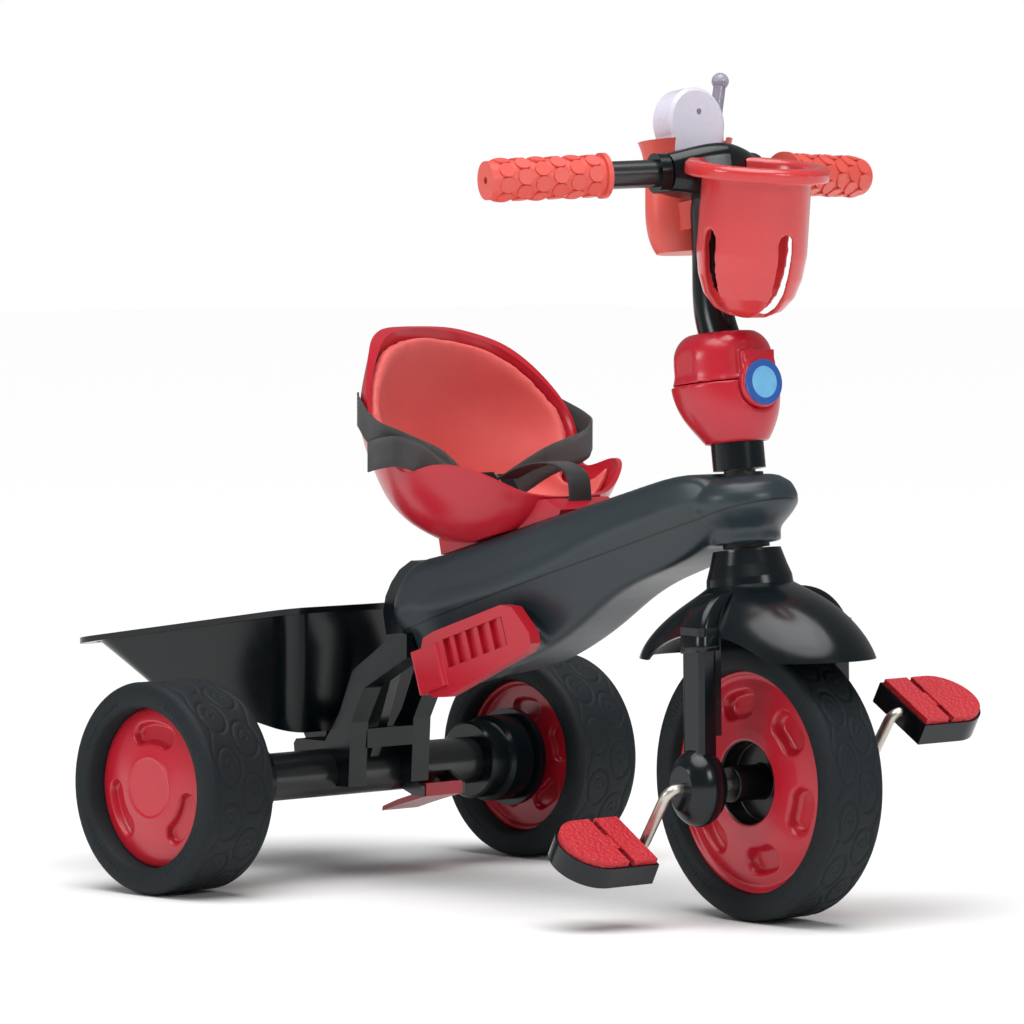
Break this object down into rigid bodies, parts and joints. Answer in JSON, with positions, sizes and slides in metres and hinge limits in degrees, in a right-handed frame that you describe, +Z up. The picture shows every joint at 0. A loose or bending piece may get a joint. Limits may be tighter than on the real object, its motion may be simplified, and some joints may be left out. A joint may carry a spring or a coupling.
{
  "type": "tricycle",
  "caption": "Child's tricycle with a bucket seat and lap belt, pedal-driven steered front wheel, tipping rear tray, front bucket and a toy phone in a holder.",
  "frame": {"origin": "on the ground under the middle of the overall box", "axes": "+X forward, +Y to the rider's left, +Z up"},
  "size_m": [0.7877, 0.492, 0.6693],
  "materials": {
    "black_gloss": "gloss",
    "slate": "satin",
    "red": "gloss",
    "coral": "satin",
    "zinc": "zinc plated",
    "painted_steel": "satin paint",
    "tyre": "matte",
    "webbing": "woven",
    "liner": "soft vinyl",
    "phone": "gloss",
    "keypad": "satin",
    "clear_lilac": "clear tinted",
    "emblem": "gloss",
    "nylon": "satin"
  },
  "bodies": {
    "frame": {"rear_axle_tube": "painted_steel", "rear_axle_rod": "zinc", "axle_collar_left": "black_gloss", "axle_collar_right": "black_gloss", "axle_retainers": "zinc", "axle_bracket": "black_gloss", "tail_cap": "black_gloss", "body_shell_upper": "slate", "body_shell_lower": "slate", "channel_liner": "black_gloss", "body_screws": "zinc", "headset_bushes": "nylon", "main_frame": "painted_steel"},
    "brake": {"brake_pedal": "red"},
    "rear_wheel_left": {"rear_tyre_left": "tyre", "rear_rim_left": "red", "rear_hubcap_left": "red"},
    "rear_wheel_right": {"rear_tyre_right": "tyre", "rear_rim_right": "red", "rear_hubcap_right": "red"},
    "steering": {"steerer_crown": "painted_steel", "fork_leg_left": "black_gloss", "fork_leg_right": "black_gloss", "hub_cover_left": "black_gloss", "hub_cover_right": "black_gloss", "fork_inserts": "zinc", "front_fender": "black_gloss", "neck_collar": "black_gloss", "handlebar_column": "black_gloss", "clamp_bowl": "red", "handlebar_tube": "painted_steel", "handlebar_cover": "black_gloss", "grip_left": "coral", "grip_right": "coral", "front_bucket": "coral", "phone_holder": "coral"},
    "front_wheel": {"front_tyre": "tyre", "front_rim": "red", "crank_axle": "zinc"},
    "pedal_left": {"pedal_left": "black_gloss", "pedal_tread_left": "red"},
    "pedal_right": {"pedal_right": "black_gloss", "pedal_tread_right": "red"},
    "seat": {"seat_shell": "red", "seat_carriage": "black_gloss", "seat_pad": "liner", "waist_strap_right": "webbing", "waist_strap_left": "webbing", "crotch_strap": "webbing", "buckle_body": "black_gloss", "buckle_tongue": "black_gloss"},
    "tray": {"tray": "black_gloss"},
    "latch": {"side_latch": "red"},
    "collar": {"clamp_ring": "red", "clamp_emblem": "emblem"},
    "phone": {"phone_front_shell": "phone", "phone_back_shell": "phone", "phone_keypad": "keypad", "phone_antenna": "clear_lilac"}
  },
  "joints": [
    {"name": "steering", "type": "hinge", "parent": "frame", "child": "steering", "pos_m": [0.283, 0, 0.11], "axis": [-0.1271, 0, 0.9919], "range_deg": [-28.5, 41.5]},
    {"name": "front_wheel_spin", "type": "hinge", "parent": "steering", "child": "front_wheel", "pos_m": [0.283, 0, 0.11], "axis": [0.1123, 0.9936, 0.0144], "continuous": true},
    {"name": "pedal_left_spin", "type": "hinge", "parent": "front_wheel", "child": "pedal_left", "pos_m": [0.33288, 0.13453, 0.16113], "axis": [0.1123, 0.9936, 0.0144], "continuous": true},
    {"name": "pedal_right_spin", "type": "hinge", "parent": "front_wheel", "child": "pedal_right", "pos_m": [0.23312, -0.13453, 0.05887], "axis": [0.1123, 0.9936, 0.0144], "continuous": true},
    {"name": "rear_wheel_left_spin", "type": "hinge", "parent": "frame", "child": "rear_wheel_left", "pos_m": [-0.186, 0.2105, 0.088], "axis": [0, 1, 0], "continuous": true},
    {"name": "rear_wheel_right_spin", "type": "hinge", "parent": "frame", "child": "rear_wheel_right", "pos_m": [-0.186, -0.2105, 0.088], "axis": [0, 1, 0], "continuous": true},
    {"name": "seat_slide", "type": "slide", "parent": "frame", "child": "seat", "axis": [0.9646, 0, 0.2639], "range_m": [0, 0.03]},
    {"name": "tray_tip", "type": "hinge", "parent": "frame", "child": "tray", "pos_m": [-0.213, 0, 0.109], "axis": [0, -1, 0], "range_deg": [0, 25]},
    {"name": "brake_press", "type": "hinge", "parent": "frame", "child": "brake", "pos_m": [-0.155, 0.06, 0.07], "axis": [0, -1, 0], "range_deg": [0, 10]},
    {"name": "latch_push", "type": "slide", "parent": "frame", "child": "latch", "axis": [0.9511, 0, 0.309], "range_m": [0, 0.006], "stiffness_N_per_m": 200, "springref_m": -0.01},
    {"name": "collar_lift", "type": "slide", "parent": "steering", "child": "collar", "axis": [-0.1271, 0, 0.9919], "range_m": [0, 0.008], "stiffness_N_per_m": 200, "springref_m": -0.01},
    {"name": "phone_out", "type": "slide", "parent": "steering", "child": "phone", "axis": [-0.1271, 0, 0.9919], "range_m": [0, 0.095]}
  ]
}
